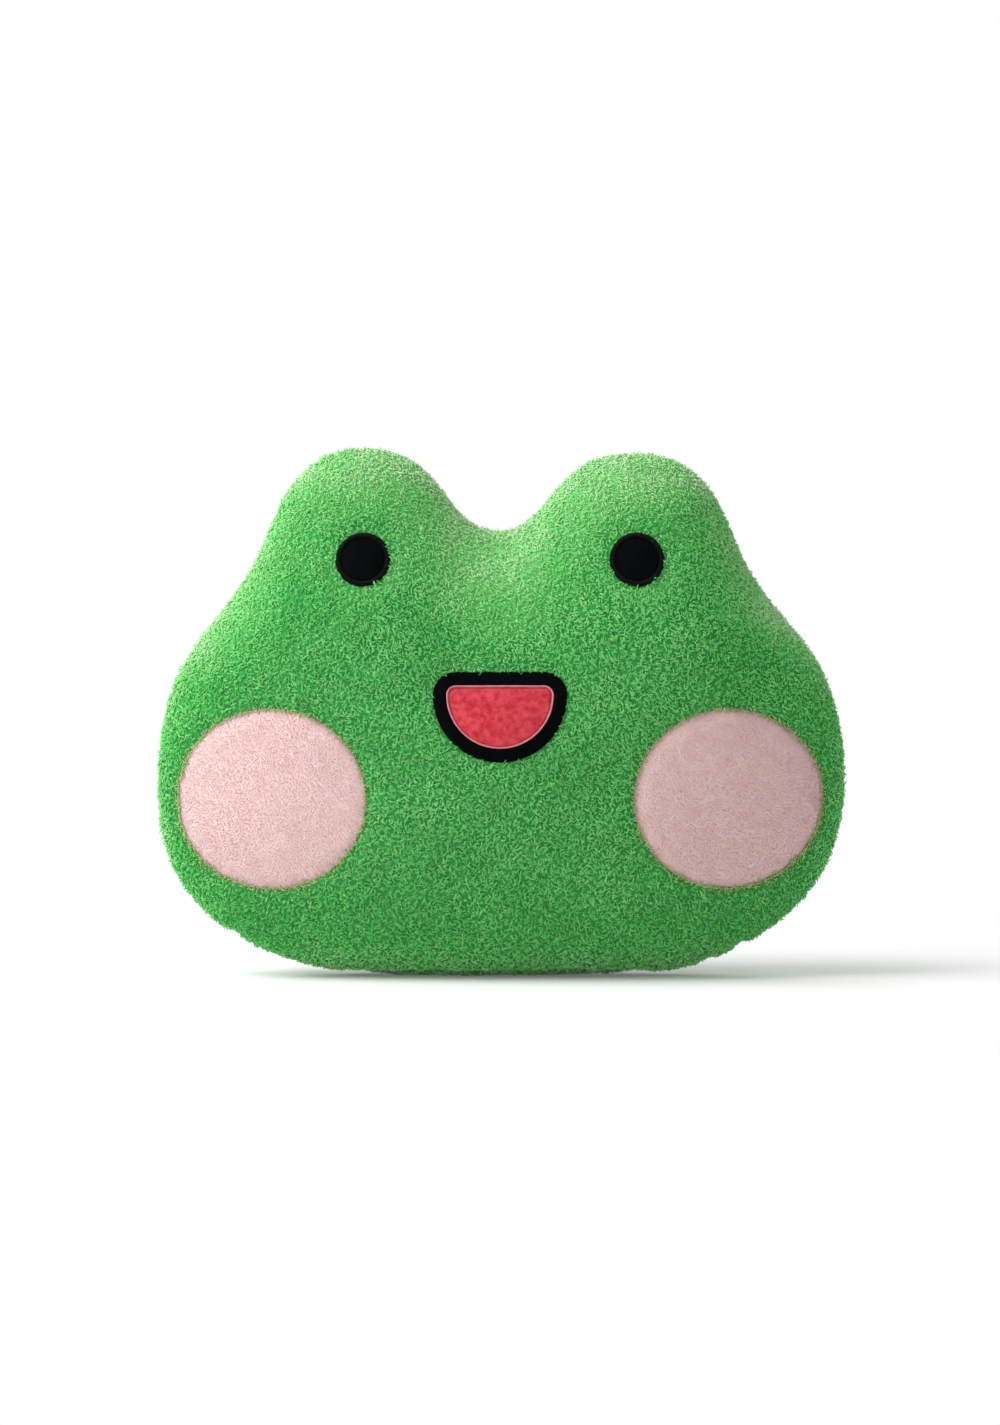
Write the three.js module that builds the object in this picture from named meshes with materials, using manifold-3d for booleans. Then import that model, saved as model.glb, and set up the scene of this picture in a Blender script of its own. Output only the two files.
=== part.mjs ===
// A stuffed frog-head pillow that stands on a flat base of its own, in millimetres.
// +Z is up, the face looks along -Y, and the origin is the middle of the base.
// Left and right are as seen from the front, so left is -X.

import * as THREE from "three";
import { mergeVertices } from "three/addons/utils/BufferGeometryUtils.js";
import Module from "manifold-3d";

const wasm = await Module();
wasm.setup();

// Overall size
const BODY_WIDTH = 450;
const BODY_HEIGHT = 344;
const BODY_DEPTH = 176;

// The belly is the wide lower lobe, which the base cuts flat
const BELLY_LEVEL = 130; // of its widest place
const BELLY_RISE = 150; // from there to its own top
const BELLY_FALL = 139; // from there to its bottom, below the cut
const BELLY_FULLNESS = 2.6; // 2 is an ellipse, more is squarer

// The two eye bumps are the lobes at the top
const BUMP_SPACING = 174;
const BUMP_WIDTH = 148;
const BUMP_DEPTH = 128;
const BUMP_RISE = 104; // from a bump's middle to its top
const BUMP_FULLNESS = 2.3;
const LOBE_BLEND = 46; // how softly one lobe flows into the next

// Plush fabric: a knitted backing that carries the pile
const PILE = 3;
const BACKING = 1;
const FABRIC = PILE + BACKING;

// Seams
const SEAM_DRAW = 3; // how far the side seam is pulled in
const SEAM_DRAW_WIDTH = 8; // how far from the seam the pull is felt
const SEAM_LOSS = 3.1; // what the pull takes off the body's outline
const ALLOWANCE = 7; // the fabric turned in at a seam, pressed flat inside
const TURNED = 1.5; // its thickness
const THREAD = 1.2; // a line of stitches, across
const GAP = 0.3; // between pieces that touch

// Cheeks, let into the front
const CHEEK_INSET = 79; // from the body's side to a cheek's middle
const CHEEK_SPACING = BODY_WIDTH - 2 * CHEEK_INSET;
const CHEEK_LEVEL = 116;
const CHEEK_WIDTH = 122;
const CHEEK_TALL = 114;

// Eyes, sewn on in the middle of the bumps
const EYE_SPACING = BUMP_SPACING;
const EYE_LEVEL = 268;
const EYE_DISC = 28;
const EYE_BORDER = 3; // the width of the stitched border
const EYE_SINK = 1.2; // of the disc below the pile's tips
const EYE_BORDER_SINK = 0.5;

// Mouth, sewn on: an open smile, a half disc with rounded corners
const MOUTH_LEVEL = 182; // of its straight edge before rounding
const MOUTH_RADIUS = 28;
const MOUTH_ROUNDING = 4;
const MOUTH_BAND = 8.5;
const MOUTH_EDGE = 1.2; // the stitched line round the red velour
const MOUTH_BAND_SINK = 0.9;
const MOUTH_EDGE_SINK = 0.5;
const MOUTH_RED_SINK = 1.2;

// Non-woven patches that back the stitching inside
const PATCH = 0.7;
const PATCH_MARGIN = 5;

// The opening left for the filling, sewn up by hand at the back
const CLOSING_OFFSET = -40;
const CLOSING_LENGTH = 90;
const CLOSING_PITCH = 10;
const CLOSING_REACH = 3; // of a stitch above and below the seam

// The bare care label, caught in the back seam
const LABEL_OFFSET = 64;
const LABEL_WIDTH = 24;
const LABEL_REACH = 26;
const LABEL_TUCK = 5;
const LABEL_THICKNESS = 0.9;
const LABEL_DROP = 2.6;

// How finely the surfaces are faceted
const FAN_LEVEL = 185; // of the point that the facets fan out from
const SPOKES = 44; // round the body, seen from the front
const ROWS = 6; // from the side seam to the middle of the face
const ROW_SPREAD = 1.7; // above 1, rows crowd towards the seam
const CHEEK_SIDES = 20;
const EYE_SIDES = 14;
const SMILE_STEPS = 9;
const CORNER_STEPS = 2;
const CURL_STEPS = 6; // along the label's curl
const THREAD_SIDES = 5;
const STITCH_STEPS = 4; // along each hand stitch, there and back

const SEARCH_STEPS = 40;
const SLOPE_STEP = 0.01;
const MERGE_TOLERANCE = 1e-4;
const FAR = 2 * BODY_WIDTH; // past every piece
const SIDES = { left: -1, right: 1 };
const sideNames = Object.keys(SIDES);

// Body form

const fan = new THREE.Vector3(0, 0, FAN_LEVEL);
const belly = {
  centre: new THREE.Vector3(0, 0, BELLY_LEVEL),
  radii: new THREE.Vector3(BODY_WIDTH / 2 + SEAM_LOSS, BODY_DEPTH / 2, BELLY_RISE),
  fall: BELLY_FALL,
  fullness: BELLY_FULLNESS,
};
const bumps = sideNames.map((side) => ({
  centre: new THREE.Vector3((SIDES[side] * BUMP_SPACING) / 2, 0, BODY_HEIGHT - BUMP_RISE),
  radii: new THREE.Vector3(BUMP_WIDTH / 2, BUMP_DEPTH / 2, BUMP_RISE + SEAM_LOSS),
  fall: BUMP_RISE,
  fullness: BUMP_FULLNESS,
}));

// About how far a point lies outside a lobe, whose outline from the front is a superellipse
function lobeDistance(point, lobe) {
  const away = point.clone().sub(lobe.centre);
  const radii = lobe.radii.clone();
  if (away.z < 0) radii.z = lobe.fall;
  const scaled = away.divide(radii);
  const power = lobe.fullness;
  const [across, up] = [Math.abs(scaled.x), Math.abs(scaled.z)];
  const outline = (across ** power + up ** power) ** (1 / power);
  const reach = Math.hypot(outline, scaled.y);
  if (reach === 0) return -BODY_DEPTH / 2;
  const share = (part) => (outline > 0 ? outline * (part / outline) ** (power - 1) : 0);
  const slope = new THREE.Vector3(share(across), Math.abs(scaled.y), share(up));
  return (reach * (reach - 1)) / slope.divide(radii).length();
}

function blend(a, b) {
  const near = Math.max(LOBE_BLEND - Math.abs(a - b), 0) / LOBE_BLEND;
  return Math.min(a, b) - (near * near * LOBE_BLEND) / 4;
}

function bodyDistance(point) {
  const top = bumps.map((bump) => lobeDistance(point, bump)).reduce(blend);
  return blend(lobeDistance(point, belly), top);
}

// Where a ray from inside the body leaves it, or comes within a depth of its surface
function exitPoint(start, direction, depth = 0) {
  let inside = 0;
  let outside = BODY_WIDTH;
  for (let step = 0; step < SEARCH_STEPS; step++) {
    const middle = (inside + outside) / 2;
    const isInside = bodyDistance(start.clone().addScaledVector(direction, middle)) < -depth;
    if (isInside) inside = middle;
    else outside = middle;
  }
  return start.clone().addScaledVector(direction, inside);
}

function outwards(point) {
  const slope = ["x", "y", "z"].map((axis) => {
    const ahead = point.clone();
    const behind = point.clone();
    ahead[axis] += SLOPE_STEP;
    behind[axis] -= SLOPE_STEP;
    return bodyDistance(ahead) - bodyDistance(behind);
  });
  return new THREE.Vector3(...slope).normalize();
}

// A point of the surface by its angle round the Y axis and its tilt towards +Y, moved in by
// a depth and by the pull of the side seam
function bodyPoint(turn, tilt, depth) {
  const direction = new THREE.Vector3(
    Math.cos(turn) * Math.cos(tilt),
    Math.sin(tilt),
    Math.sin(turn) * Math.cos(tilt),
  );
  const point = exitPoint(fan, direction);
  const draw = SEAM_DRAW * Math.exp(-((point.y / SEAM_DRAW_WIDTH) ** 2));
  return point.addScaledVector(outwards(point), -(depth + draw));
}

// A point in front of (-1) or behind (1) a point of the XZ plane, a depth below the surface
function facePoint(x, z, way, depth) {
  return exitPoint(new THREE.Vector3(x, 0, z), new THREE.Vector3(0, way, 0), depth);
}

// Solids

function solid(geometry) {
  const bare = geometry.index ? geometry.toNonIndexed() : geometry.clone();
  bare.deleteAttribute("normal");
  bare.deleteAttribute("uv");
  const merged = mergeVertices(bare, MERGE_TOLERANCE);
  return new wasm.Manifold(
    new wasm.Mesh({
      numProp: 3,
      vertProperties: merged.attributes.position.array,
      triVerts: new Uint32Array(merged.index.array),
    }),
  );
}

function faceted(points, triangles) {
  const geometry = new THREE.BufferGeometry();
  geometry.setFromPoints(points);
  geometry.setIndex(triangles.flat());
  return geometry;
}

// The whole body as one solid, with its surface moved in by a depth
function bodyAt(depth) {
  const tilts = [];
  for (let row = 1 - ROWS; row < ROWS; row++) {
    const share = Math.abs(row) / ROWS;
    tilts.push(Math.sign(row) * (Math.PI / 2) * share ** ROW_SPREAD);
  }
  const points = [bodyPoint(0, -Math.PI / 2, depth)];
  for (const tilt of tilts) {
    for (let spoke = 0; spoke < SPOKES; spoke++) {
      points.push(bodyPoint((2 * Math.PI * spoke) / SPOKES, tilt, depth));
    }
  }
  points.push(bodyPoint(0, Math.PI / 2, depth));
  const at = (ring, spoke) => 1 + ring * SPOKES + (spoke % SPOKES);
  const [first, last] = [0, points.length - 1];
  const triangles = [];
  for (let spoke = 0; spoke < SPOKES; spoke++) {
    triangles.push([first, at(0, spoke), at(0, spoke + 1)]);
    triangles.push([last, at(tilts.length - 1, spoke + 1), at(tilts.length - 1, spoke)]);
    for (let ring = 0; ring < tilts.length - 1; ring++) {
      const [a, b] = [at(ring, spoke), at(ring, spoke + 1)];
      const [c, d] = [at(ring + 1, spoke + 1), at(ring + 1, spoke)];
      triangles.push([a, c, b], [a, d, c]);
    }
  }
  return solid(faceted(points, triangles));
}

const bodies = new Map();

function body(depth) {
  if (!bodies.has(depth)) bodies.set(depth, bodyAt(depth));
  return bodies.get(depth);
}

// What lies between two depths below the surface
function layer(top, bottom) {
  return body(top).subtract(body(bottom));
}

function block(low, high) {
  const size = high.clone().sub(low);
  const box = new THREE.BoxGeometry(size.x, size.y, size.z);
  box.translate(...low.clone().add(high).multiplyScalar(0.5).toArray());
  return solid(box);
}

function slab(axis, low, high) {
  const from = new THREE.Vector3(-FAR, -FAR, -FAR);
  const to = new THREE.Vector3(FAR, FAR, FAR);
  from[axis] = low;
  to[axis] = high;
  return block(from, to);
}

// An upright ellipse, carried forwards through the face
function faceColumn(x, z, width, height, sides) {
  const column = new THREE.CylinderGeometry(0.5, 0.5, FAR, sides);
  column.scale(width, 1, height);
  column.translate(x, -FAR / 2, z);
  return solid(column);
}

// Regions that the pieces are cut with

const WALL_FOOT = FABRIC + GAP; // where front and back stand on the base panel
const inFront = slab("y", -FAR, -GAP / 2);
const behind = slab("y", GAP / 2, FAR);
const aboveBase = slab("z", WALL_FOOT, FAR);
const fabricLayer = layer(0, FABRIC);
const turnedLayer = layer(BACKING, FABRIC + TURNED);

// The turned-in fabric along the side seam and along the base seam
const seamEdges = slab("y", -ALLOWANCE, ALLOWANCE)
  .add(slab("z", WALL_FOOT, WALL_FOOT + ALLOWANCE))
  .intersect(turnedLayer);

function cheekColumn(side, grow) {
  const x = (SIDES[side] * CHEEK_SPACING) / 2;
  return faceColumn(x, CHEEK_LEVEL, CHEEK_WIDTH + 2 * grow, CHEEK_TALL + 2 * grow, CHEEK_SIDES);
}

function eyeColumn(side, grow) {
  const x = (SIDES[side] * EYE_SPACING) / 2;
  return faceColumn(x, EYE_LEVEL, EYE_DISC + 2 * grow, EYE_DISC + 2 * grow, EYE_SIDES);
}

function arc(x, z, radius, from, to, steps) {
  return Array.from({ length: steps + 1 }, (_, step) => {
    const angle = from + ((to - from) * step) / steps;
    return new THREE.Vector2(x + radius * Math.cos(angle), z + radius * Math.sin(angle));
  });
}

// The smile's half disc, grown by a distance that rounds its corners
function mouthColumn(grow) {
  const [quarter, half] = [Math.PI / 2, Math.PI];
  const outline = [
    ...arc(MOUTH_RADIUS, 0, grow, quarter, 0, CORNER_STEPS),
    ...arc(0, 0, MOUTH_RADIUS + grow, 0, -half, SMILE_STEPS).slice(1, -1),
    ...arc(-MOUTH_RADIUS, 0, grow, half, quarter, CORNER_STEPS),
  ];
  const options = { depth: FAR, bevelEnabled: false };
  const column = new THREE.ExtrudeGeometry(new THREE.Shape(outline), options);
  column.rotateX(Math.PI / 2);
  column.translate(0, 0, MOUTH_LEVEL);
  return solid(column);
}

const EYE_OUTSIDE = GAP + EYE_BORDER; // beyond the disc
const MOUTH_BAND_INSIDE = MOUTH_ROUNDING + MOUTH_EDGE + 2 * GAP;
const MOUTH_OUTSIDE = MOUTH_BAND_INSIDE + MOUTH_BAND;

// Shell panels

function frontPanel() {
  let panel = fabricLayer.add(seamEdges);
  for (const side of sideNames) {
    panel = panel.subtract(cheekColumn(side, GAP));
  }
  const recesses = sideNames.map((side) => eyeColumn(side, EYE_OUTSIDE + GAP));
  recesses.push(mouthColumn(MOUTH_OUTSIDE + GAP));
  for (const recess of recesses) {
    panel = panel.subtract(layer(-PILE, PILE).intersect(recess));
  }
  return panel.intersect(inFront).intersect(aboveBase);
}

function backPanel() {
  const panel = fabricLayer.add(seamEdges).intersect(behind).intersect(aboveBase);
  return panel.subtract(labelSlot());
}

function basePanel() {
  return body(0).intersect(slab("z", 0, FABRIC));
}

// A cheek's turned-in edge lies flat behind it all the way round
function cheekPanel(side) {
  const column = cheekColumn(side, 0);
  const edge = turnedLayer.intersect(column.subtract(cheekColumn(side, -ALLOWANCE)));
  return fabricLayer.intersect(column).add(edge).intersect(inFront);
}

// Face pieces

function onFace(column, top, bottom = PILE - GAP) {
  return layer(top, bottom).intersect(column).intersect(inFront);
}

const eyeDisc = (side) => onFace(eyeColumn(side, 0), EYE_SINK);

function eyeBorder(side) {
  const ring = eyeColumn(side, EYE_OUTSIDE).subtract(eyeColumn(side, GAP));
  return onFace(ring, EYE_BORDER_SINK);
}

const mouthRed = () => onFace(mouthColumn(MOUTH_ROUNDING), MOUTH_RED_SINK);

function mouthEdge() {
  const inside = MOUTH_ROUNDING + GAP;
  const ring = mouthColumn(inside + MOUTH_EDGE).subtract(mouthColumn(inside));
  return onFace(ring, MOUTH_EDGE_SINK);
}

function mouthBand() {
  const ring = mouthColumn(MOUTH_OUTSIDE).subtract(mouthColumn(MOUTH_BAND_INSIDE));
  return onFace(ring, MOUTH_BAND_SINK);
}

const patch = (column) => onFace(column, FABRIC + GAP, FABRIC + GAP + PATCH);
const eyePatch = (side) => patch(eyeColumn(side, EYE_OUTSIDE + PATCH_MARGIN));
const mouthPatch = () => patch(mouthColumn(MOUTH_OUTSIDE + PATCH_MARGIN));

// Seam threads: lines of stitches that lie inside, along the folds that they hold together

const THREAD_ROOM = 1.5 * GAP; // beside a thread
const THREAD_DEPTH = FABRIC + TURNED + THREAD_ROOM;
const FILLING_DEPTH = THREAD_DEPTH + THREAD + THREAD_ROOM;
const threadLayer = layer(THREAD_DEPTH, THREAD_DEPTH + THREAD);

function sideSeamThread() {
  const seam = slab("y", -THREAD / 2, THREAD / 2);
  return threadLayer.intersect(seam).intersect(slab("z", WALL_FOOT + FILLING_DEPTH, FAR));
}

function baseSeamThread() {
  const level = FABRIC + THREAD_ROOM;
  return threadLayer.intersect(slab("z", level, level + THREAD));
}

function cheekSeamThread(side) {
  const [inner, outer] = [(GAP - THREAD) / 2, (GAP + THREAD) / 2];
  const ring = cheekColumn(side, outer).subtract(cheekColumn(side, inner));
  return threadLayer.intersect(ring).intersect(inFront);
}

// A round thread through points, with flat ends
function thread(points) {
  const rings = points.map((point, i) => {
    const before = points[Math.max(i - 1, 0)];
    const after = points[Math.min(i + 1, points.length - 1)];
    const along = after.clone().sub(before).normalize();
    const across = along.clone().cross(new THREE.Vector3(0, 1, 0)).normalize();
    const third = along.clone().cross(across);
    return Array.from({ length: THREAD_SIDES }, (_, side) => {
      const angle = (2 * Math.PI * side) / THREAD_SIDES;
      return point
        .clone()
        .addScaledVector(across, (Math.cos(angle) * THREAD) / 2)
        .addScaledVector(third, (Math.sin(angle) * THREAD) / 2);
    });
  });
  const at = (ring, side) => ring * THREAD_SIDES + (side % THREAD_SIDES);
  const last = points.length - 1;
  const triangles = [];
  for (let ring = 0; ring < last; ring++) {
    for (let side = 0; side < THREAD_SIDES; side++) {
      const [a, b] = [at(ring, side), at(ring, side + 1)];
      const [c, d] = [at(ring + 1, side + 1), at(ring + 1, side)];
      triangles.push([a, b, c], [a, c, d]);
    }
  }
  for (let side = 1; side < THREAD_SIDES - 1; side++) {
    triangles.push([at(0, 0), at(0, side + 1), at(0, side)]);
    triangles.push([at(last, 0), at(last, side), at(last, side + 1)]);
  }
  return solid(faceted(rings.flat(), triangles));
}

function closingStitch() {
  const count = Math.round(CLOSING_LENGTH / CLOSING_PITCH) * STITCH_STEPS;
  const points = [];
  for (let step = 0; step <= count; step++) {
    const x = CLOSING_OFFSET + CLOSING_LENGTH * (step / count - 0.5);
    const swing = Math.sin((2 * Math.PI * step) / STITCH_STEPS);
    points.push(facePoint(x, FABRIC + CLOSING_REACH * swing, 1, -(THREAD_ROOM + THREAD / 2)));
  }
  return thread(points);
}

// Care label

const LABEL_TOP = WALL_FOOT + LABEL_THICKNESS;

function labelSlot() {
  const half = LABEL_WIDTH / 2 + GAP;
  return block(
    new THREE.Vector3(LABEL_OFFSET - half, 0, 0),
    new THREE.Vector3(LABEL_OFFSET + half, FAR, LABEL_TOP + GAP),
  );
}

// The label leaves the seam level and curls down towards its end
function careLabel() {
  const seam = facePoint(LABEL_OFFSET, FABRIC, 1, 0).y;
  const [bend, end] = [seam + GAP, seam + LABEL_REACH];
  const level = (share) => (LABEL_DROP * (Math.cos(Math.PI * share) - 1)) / 2;
  const under = [new THREE.Vector2(seam - LABEL_TUCK, WALL_FOOT)];
  for (let step = 0; step <= CURL_STEPS; step++) {
    const share = step / CURL_STEPS;
    under.push(new THREE.Vector2(bend + (end - bend) * share, WALL_FOOT + level(share)));
  }
  const over = under.map((point) => new THREE.Vector2(point.x, point.y + LABEL_THICKNESS));
  const options = { depth: LABEL_WIDTH, bevelEnabled: false };
  const shape = new THREE.Shape([...under, ...over.reverse()]);
  const strip = new THREE.ExtrudeGeometry(shape, options);
  const alongY = new THREE.Vector3(0, 1, 0);
  const alongZ = new THREE.Vector3(0, 0, 1);
  const alongX = new THREE.Vector3(1, 0, 0);
  strip.applyMatrix4(new THREE.Matrix4().makeBasis(alongY, alongZ, alongX));
  strip.translate(LABEL_OFFSET - LABEL_WIDTH / 2, 0, 0);
  return solid(strip);
}

const filling = () => body(FILLING_DEPTH).intersect(aboveBase);

// Materials: colour, roughness
const MATERIALS = {
  greenPlush: [0x4fa84f, 0.95],
  pinkPlush: [0xe3c4c0, 0.95],
  blackVelour: [0x0b1014, 0.9],
  redVelour: [0xd7424e, 0.85],
  blackThread: [0x101418, 0.6],
  greenThread: [0x3c8f45, 0.7],
  pinkThread: [0xe59aa2, 0.6],
  interfacing: [0xf2f2ee, 0.9],
  labelSatin: [0xf6f5f1, 0.5],
  fibre: [0xf8f8f6, 1],
};

function material(name) {
  const [color, roughness] = MATERIALS[name];
  return new THREE.MeshStandardMaterial({ color, roughness, metalness: 0 });
}

const pillow = new THREE.Group();

function place(name, materialName, made) {
  const { vertProperties, triVerts } = made.getMesh();
  const geometry = new THREE.BufferGeometry();
  geometry.setAttribute("position", new THREE.BufferAttribute(vertProperties, 3));
  geometry.setIndex(new THREE.BufferAttribute(triVerts, 1));
  geometry.computeVertexNormals();
  const mesh = new THREE.Mesh(geometry, material(materialName));
  mesh.name = name;
  pillow.add(mesh);
}

place("front_panel", "greenPlush", frontPanel());
place("back_panel", "greenPlush", backPanel());
place("base_panel", "greenPlush", basePanel());
place("mouth_band", "blackVelour", mouthBand());
place("mouth_inner", "redVelour", mouthRed());
place("mouth_edge_thread", "pinkThread", mouthEdge());
place("mouth_backing", "interfacing", mouthPatch());
for (const side of sideNames) {
  place(`${side}_cheek_panel`, "pinkPlush", cheekPanel(side));
  place(`${side}_cheek_seam_thread`, "greenThread", cheekSeamThread(side));
  place(`${side}_eye_disc`, "blackVelour", eyeDisc(side));
  place(`${side}_eye_border`, "blackThread", eyeBorder(side));
  place(`${side}_eye_backing`, "interfacing", eyePatch(side));
}
place("side_seam_thread", "greenThread", sideSeamThread());
place("base_seam_thread", "greenThread", baseSeamThread());
place("closing_stitch", "greenThread", closingStitch());
place("care_label", "labelSatin", careLabel());
place("filling", "fibre", filling());

export default pillow;
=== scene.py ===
"""Dresses the frog pillow: stuffed shell, curly pile, cheeks, eyes, mouth, seams, label."""

import math

import bpy
import numpy as np
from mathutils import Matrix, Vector
from mathutils.bvhtree import BVHTree


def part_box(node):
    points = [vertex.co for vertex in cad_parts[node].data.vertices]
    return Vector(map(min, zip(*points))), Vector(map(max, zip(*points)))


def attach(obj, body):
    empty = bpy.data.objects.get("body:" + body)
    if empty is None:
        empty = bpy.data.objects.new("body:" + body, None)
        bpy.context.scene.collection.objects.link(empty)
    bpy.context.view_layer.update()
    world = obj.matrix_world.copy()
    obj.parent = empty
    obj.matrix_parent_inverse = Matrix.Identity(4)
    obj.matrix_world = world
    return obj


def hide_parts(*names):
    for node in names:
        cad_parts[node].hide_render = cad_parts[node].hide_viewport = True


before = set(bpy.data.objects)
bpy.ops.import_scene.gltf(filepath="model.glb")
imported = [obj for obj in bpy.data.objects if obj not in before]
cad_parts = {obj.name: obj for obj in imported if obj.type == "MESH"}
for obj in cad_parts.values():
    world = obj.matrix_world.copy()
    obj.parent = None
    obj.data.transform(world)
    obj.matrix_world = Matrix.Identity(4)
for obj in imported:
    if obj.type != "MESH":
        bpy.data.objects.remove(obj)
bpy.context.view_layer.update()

MM = 0.001
BODY = "root"
SIDES = ("left", "right")

# Body form: the three lobes of the construction, in metres
LOBE_BLEND = 46 * MM
BUMP = {"radii": (74 * MM, 64 * MM, 107.1 * MM), "fall": 104 * MM, "fullness": 2.3}
LOBES = {
    "belly": {
        "centre": (0, 0, 130 * MM),
        "radii": (228.1 * MM, 88 * MM, 150 * MM),
        "fall": 139 * MM,  # the radius below the centre
        "fullness": 2.6,  # an ellipse has 2, and more is squarer
    },
    "left": {"centre": (-87 * MM, 0, 240 * MM), **BUMP},
    "right": {"centre": (87 * MM, 0, 240 * MM), **BUMP},
}
SLOPE_STEP = 0.1 * MM
LEAST_STEEPNESS = 0.2  # keeps the distance finite where lobes meet
FAN = np.array((0, 0, 150 * MM))  # sees the whole surface from inside
REACH = 0.4  # past the surface on every side
HALVINGS = 30  # of that stretch, to find where a ray leaves the form
FOOT_ROUND = 6 * MM  # of the edge between the flanks and the flat base

# Fabric
BASE_LEVEL = 2.2 * MM  # of the backing over pile that the weight presses flat
FLOOR_GAP = 0.2 * MM
SKIN = 1.1 * MM  # the knitted backing
PATCH_CLOTH = 0.9 * MM  # the cloth of the eyes and the mouth
FELT = 0.7 * MM
RIBBON = 0.3 * MM
WADDING_DEPTH = 5 * MM  # from the shell's outside
WADDING_LUMP = 1.0 * MM
WADDING_LUMP_SIZE = 14 * MM

# Stuffing, simulated on a slightly smaller form
START_DEPTH = 5.5 * MM
VOXEL = 6 * MM
STUFFING = {
    "quality": 5,
    "mass": 0.3,
    "tension_stiffness": 1.5,
    "compression_stiffness": 1.5,
    "shear_stiffness": 1.5,
    "bending_stiffness": 0.5,
    "use_pressure": True,
    "uniform_pressure_force": 10,
}
FRAMES = 20
SWELL_CAP = 5.5 * MM
PIN_WIDTH = 5 * MM  # how far from a seam the stitches hold the cloth
PATCH_HOLD = 0.35  # how firmly a sewn-on piece's edge holds it, where a seam has one

# Seams and dents
GROOVES = {"side": 3.2 * MM, "base": 2 * MM, "left": 1.4 * MM, "right": 1.4 * MM}
GROOVE_WIDTH = 4 * MM
PUCKER = 0.45 * MM
PUCKER_WIDTH = 10 * MM
PUCKER_PITCH = 9 * MM
GATHERS = ((156 * MM, 21 * MM), (136 * MM, 10 * MM), (-172 * MM, 28 * MM))  # their x and z
GATHER_DEPTH = 3 * MM
GATHER_WIDTH = 5 * MM
GATHER_REACH = 22 * MM  # to the front and the back of the seam
BASE_SLANT = 1.8  # distance along the cloth for each unit of height, beside the base seam
DENT = 1.2 * MM  # along the edges of the eyes and the mouth
DENT_WIDTH = 9 * MM
LUMP = 1.0 * MM
LUMP_SIZE = 70 * MM

# Random draws, beside those of each kind of pile. Pieces that share one count on from it.
SEEDS = {"puckers": 7, "satin": 7, "lumps": 16, "wadding": 21, "tufts": (34, 35, 36)}


# Numbers


def unit(vectors):
    """Each vector at length one."""
    return vectors / np.maximum(np.linalg.norm(vectors, axis=-1, keepdims=True), 1e-12)


def bell(distance, width):
    """One at nought, falling softly to nothing past the width."""
    return np.exp(-((distance / width) ** 2))


def full_turn(count):
    """Angles evenly spaced once round."""
    return 2 * math.pi * np.arange(count) / count


def headings(angles):
    """The flat direction at each angle."""
    return np.stack((np.cos(angles), np.sin(angles)), axis=1)


def ripple_field(points, size, seed, waves=14):
    """A smooth random field of about -1 to 1 with lumps of the given size."""
    random = np.random.default_rng(seed)
    directions = unit(random.normal(size=(waves, 3)))
    steps = random.uniform(0.7, 1.5, waves) * math.pi / size
    starts = random.uniform(0, 2 * math.pi, waves)
    return np.sin(points @ (directions * steps[:, None]).T + starts).sum(1) / math.sqrt(waves)


def last_inside(start, ways, distance):
    """Where rays from a point leave the form that a distance is measured from."""
    near = np.zeros(len(ways))
    far = np.full(len(ways), REACH)
    for _ in range(HALVINGS):
        middle = (near + far) / 2
        outside = distance(start + ways * middle[:, None]) > 0
        far = np.where(outside, middle, far)
        near = np.where(outside, near, middle)
    return start + ways * near[:, None]


# Body form


def lobe_distance(points, lobe):
    """About how far each point lies outside one lobe."""
    away = points - lobe["centre"]
    radii = np.tile(lobe["radii"], (len(points), 1))
    radii[:, 2] = np.where(away[:, 2] < 0, lobe["fall"], radii[:, 2])
    share = np.abs(away / radii)
    full = lobe["fullness"]
    outline = np.maximum((share[:, 0] ** full + share[:, 2] ** full) ** (1 / full), 1e-9)
    reach = np.maximum(np.hypot(outline, share[:, 1]), 1e-9)
    slope = share.copy()
    for axis in (0, 2):
        slope[:, axis] = outline * (share[:, axis] / outline) ** (full - 1)
    return reach * (reach - 1) / np.maximum(np.linalg.norm(slope / radii, axis=1), 1e-9)


def soft_least(first, second, reach):
    """The lesser of two distances, with a soft change between them."""
    near = np.maximum(reach - np.abs(first - second), 0) / reach
    return np.minimum(first, second) - near**2 * reach / 4


def body_field(points):
    """Nought on the body's surface and above nought outside it."""
    belly, left, right = (lobe_distance(points, lobe) for lobe in LOBES.values())
    return soft_least(belly, soft_least(left, right, LOBE_BLEND), LOBE_BLEND)


def body_distance(points):
    """How far each point lies outside the body, with no flat base yet."""
    steps = SLOPE_STEP * np.eye(3)
    rise = [body_field(points + step) - body_field(points - step) for step in steps]
    steepness = np.linalg.norm(rise, axis=0) / (2 * SLOPE_STEP)
    return body_field(points) / np.maximum(steepness, LEAST_STEEPNESS)


def form_distance(points):
    """How far each point lies outside the form before stuffing, on its flat base."""
    inside = -body_distance(points) - START_DEPTH
    return -soft_least(inside, points[:, 2] - BASE_LEVEL, FOOT_ROUND)


# Outlines on the front, taken from the frame


def middle_and_half(node):
    """The middle of a node's box and half its size, along x and z."""
    low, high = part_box(node)
    low = np.array((low.x, low.z))
    high = np.array((high.x, high.z))
    return (low + high) / 2, (high - low) / 2


CHEEKS = {side: middle_and_half(f"{side}_cheek_panel") for side in SIDES}
EYES = {side: middle_and_half(f"{side}_eye_border") for side in SIDES}
EYE_DISC = {side: middle_and_half(f"{side}_eye_disc")[1][1] for side in SIDES}


def cheek_distance(points, side):
    """How far each point lies outside a cheek's oval, seen from the front."""
    middle, half = CHEEKS[side]
    away = (points[:, (0, 2)] - middle) / half
    reach = np.maximum(np.linalg.norm(away, axis=1), 1e-9)
    return (reach - 1) * half.mean()


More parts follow.
